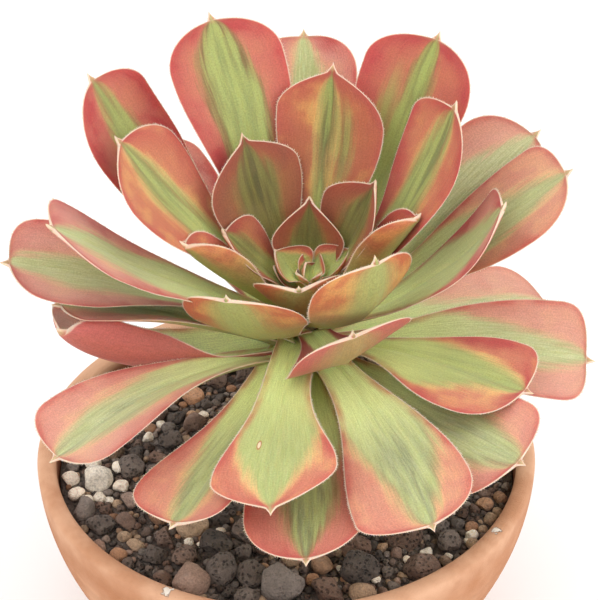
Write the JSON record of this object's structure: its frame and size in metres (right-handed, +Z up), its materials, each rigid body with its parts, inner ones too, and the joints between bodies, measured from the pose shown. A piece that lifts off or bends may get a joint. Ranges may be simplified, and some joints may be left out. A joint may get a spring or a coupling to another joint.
{
  "type": "potted aeonium",
  "caption": "Variegated aeonium: a wide rosette of spoon-shaped leaves with pink-red margins on a short stem, in a terracotta pan of stony grit.",
  "frame": {"origin": "centre of the pan's flat underside, on the surface that it stands on", "axes": "+Z up the plant, -Y towards the front of the rosette, +X to the right of the front"},
  "size_m": [0.144, 0.1419, 0.1589],
  "materials": {
    "terracotta": "matt fired clay",
    "grit": "rough dry stones",
    "bark": "matt with leaf scars",
    "leaf_young": "satin leaf skin",
    "leaf_outer": "satin leaf skin",
    "leaf_inner": "satin leaf skin"
  },
  "bodies": {
    "root": {"pan": "terracotta", "soil": "grit", "stem": "bark", "bud": "leaf_young", "leaf_front_2": "leaf_outer", "leaf_right_3": "leaf_outer", "leaf_back_9": "leaf_outer", "leaf_left_5": "leaf_outer", "leaf_front_4": "leaf_outer", "leaf_right_2": "leaf_outer", "leaf_back_10": "leaf_outer", "leaf_left_6": "leaf_outer", "leaf_left_4": "leaf_outer", "leaf_left_3": "leaf_outer", "leaf_back_8": "leaf_outer", "leaf_back_2": "leaf_outer", "leaf_right_5": "leaf_outer", "leaf_left_2": "leaf_outer", "leaf_right_1": "leaf_outer", "leaf_front_3": "leaf_outer", "leaf_front_1": "leaf_outer", "leaf_right_4": "leaf_outer", "leaf_left_1": "leaf_outer", "leaf_back_6": "leaf_outer", "leaf_back_3": "leaf_outer", "leaf_back_1": "leaf_outer", "leaf_right_7": "leaf_outer", "leaf_inner_8": "leaf_outer", "leaf_inner_7": "leaf_outer", "leaf_back_7": "leaf_outer", "leaf_right_6": "leaf_outer", "leaf_inner_6": "leaf_outer", "leaf_back_4": "leaf_inner", "leaf_back_5": "leaf_inner", "leaf_inner_1": "leaf_inner", "leaf_inner_9": "leaf_inner", "leaf_inner_5": "leaf_inner", "leaf_inner_4": "leaf_inner", "leaf_inner_2": "leaf_inner", "leaf_inner_3": "leaf_inner"}
  },
  "joints": []
}
